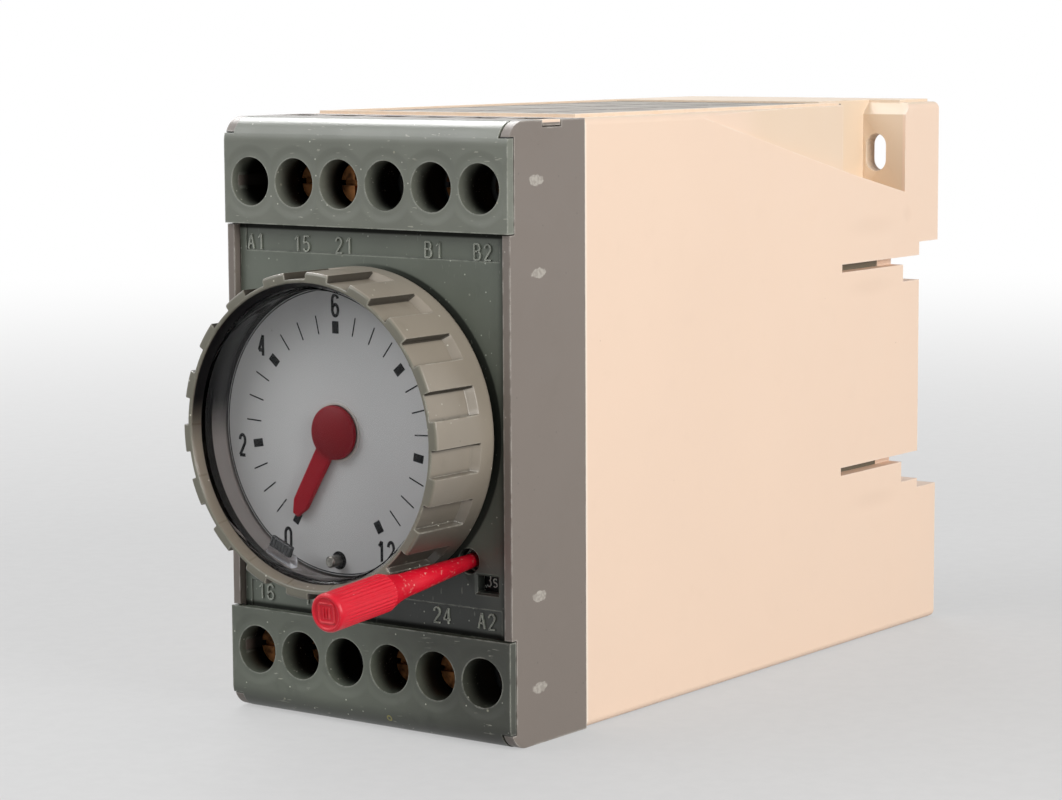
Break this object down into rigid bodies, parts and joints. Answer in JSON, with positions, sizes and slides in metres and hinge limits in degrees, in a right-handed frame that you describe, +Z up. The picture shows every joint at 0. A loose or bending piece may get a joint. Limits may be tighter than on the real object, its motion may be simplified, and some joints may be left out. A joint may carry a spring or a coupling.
{
  "type": "rail-mounted motor-driven setting timer",
  "caption": "Slim rail-mounted timer with a large dial knob, clear window, screw terminals above and below, pull-out range key, driven pointer and rail latch.",
  "frame": {"origin": "on the underside of the case, midway across it and midway along its depth without the knob and key", "axes": "+X to the right as seen from the front, +Y towards the rail at the back, +Z up"},
  "size_m": [0.044, 0.1296, 0.0754],
  "materials": {
    "case_plastic": "fine matt moulding",
    "frame_plastic": "satin moulding with scuffs",
    "cover_plastic": "satin moulding",
    "block_plastic": "matt moulding",
    "panel_plastic": "matt moulding",
    "knob_plastic": "satin moulding, worn at the lands",
    "clear_plastic": "clear polished moulding",
    "dial_face": "printed satin face",
    "inner_plastic": "plain moulding",
    "dark_plastic": "matt black moulding",
    "pointer_paint": "satin dark red",
    "key_plastic": "satin red moulding",
    "brass": "turned, lightly tarnished",
    "copper": "enamelled wire",
    "steel": "zinc plated",
    "aluminium": "bare sheet",
    "core_iron": "stacked and lacquered sheets",
    "board": "lacquered laminate",
    "label": "printed foil"
  },
  "bodies": {
    "case": {"housing": "case_plastic", "front_frame": "frame_plastic", "terminal_cover_top": "cover_plastic", "terminal_cover_bottom": "cover_plastic", "terminal_block_top": "block_plastic", "terminal_block_bottom": "block_plastic", "terminal_screws_top": "brass", "terminal_screws_bottom": "brass", "clamp_plates_top": "steel", "clamp_plates_bottom": "steel", "contact_bars_top": "brass", "contact_bars_bottom": "brass", "link_board_top": "board", "link_board_bottom": "board", "front_panel": "panel_plastic", "dial_plate": "dial_face", "dial_carrier": "inner_plastic", "stop_pin": "steel", "pointer_bush": "inner_plastic", "motor_coil": "copper", "motor_can": "steel", "movement_plate_front": "brass", "movement_plate_rear": "brass", "movement_pillars": "brass", "movement_screws": "steel", "track_board": "board", "spacer_ring": "inner_plastic", "range_switch": "dark_plastic", "latch_springs": "steel", "roof_label": "label", "main_board": "board", "board_screws": "steel", "relay_body": "dark_plastic", "relay_coil": "copper", "relay_yoke": "steel", "relay_contacts": "brass", "transformer_core": "core_iron", "transformer_winding": "copper", "smoothing_capacitors": "aluminium", "control_chip": "dark_plastic", "resistors": "inner_plastic"},
    "knob": {"knob_ring": "knob_plastic", "knob_retainer": "inner_plastic", "track_wiper": "brass", "knob_window": "clear_plastic", "setting_index": "clear_plastic"},
    "pointer_train": {"pointer": "pointer_paint", "pointer_arbor": "steel", "centre_wheel": "brass"},
    "intermediate": {"intermediate_arbor": "steel", "intermediate_pinion": "brass", "intermediate_wheel": "brass"},
    "rotor": {"motor_rotor": "steel", "motor_pinion": "brass"},
    "selector": {"range_shaft": "inner_plastic", "range_disc": "dark_plastic"},
    "key": {"range_key": "key_plastic"},
    "latch": {"rail_latch": "inner_plastic"},
    "armature": {"relay_armature": "steel"}
  },
  "joints": [
    {"name": "knob_turn", "type": "hinge", "parent": "case", "child": "knob", "pos_m": [0, 0, 0.0375], "axis": [0, 1, 0], "range_deg": [0, 300]},
    {"name": "pointer_sweep", "type": "hinge", "parent": "case", "child": "pointer_train", "pos_m": [0, 0, 0.0375], "axis": [0, 1, 0], "range_deg": [0, 300]},
    {"name": "intermediate_spin", "type": "hinge", "parent": "case", "child": "intermediate", "pos_m": [0.008, 0, 0.04947], "axis": [0, 1, 0], "range_deg": [-1500, 0]},
    {"name": "motor_spin", "type": "hinge", "parent": "case", "child": "rotor", "pos_m": [-0.0004, 0, 0.04947], "axis": [0, 1, 0], "range_deg": [0, 3750]},
    {"name": "range_select", "type": "hinge", "parent": "case", "child": "selector", "pos_m": [0.0149, 0, 0.02228], "axis": [0, 1, 0], "range_deg": [-150, 0]},
    {"name": "key_pull", "type": "slide", "parent": "selector", "child": "key", "axis": [0, -0.9969, -0.0785], "range_m": [0, 0.03]},
    {"name": "latch_slide", "type": "slide", "parent": "case", "child": "latch", "axis": [0, 0, -1], "range_m": [0, 0.003], "stiffness_N_per_m": 600, "springref_m": -0.002, "deforming": ["latch_springs"]},
    {"name": "armature_swing", "type": "hinge", "parent": "case", "child": "armature", "pos_m": [0.00355, -0.0068, 0.0155], "axis": [0, 0, 1], "range_deg": [0, 3], "stiffness_Nm_per_rad": 0.02, "springref_deg": -5.73}
  ],
  "couplings": [
    {"joint": "intermediate_spin", "follows": "pointer_sweep", "ratio": -5},
    {"joint": "motor_spin", "follows": "pointer_sweep", "ratio": 12.5}
  ]
}
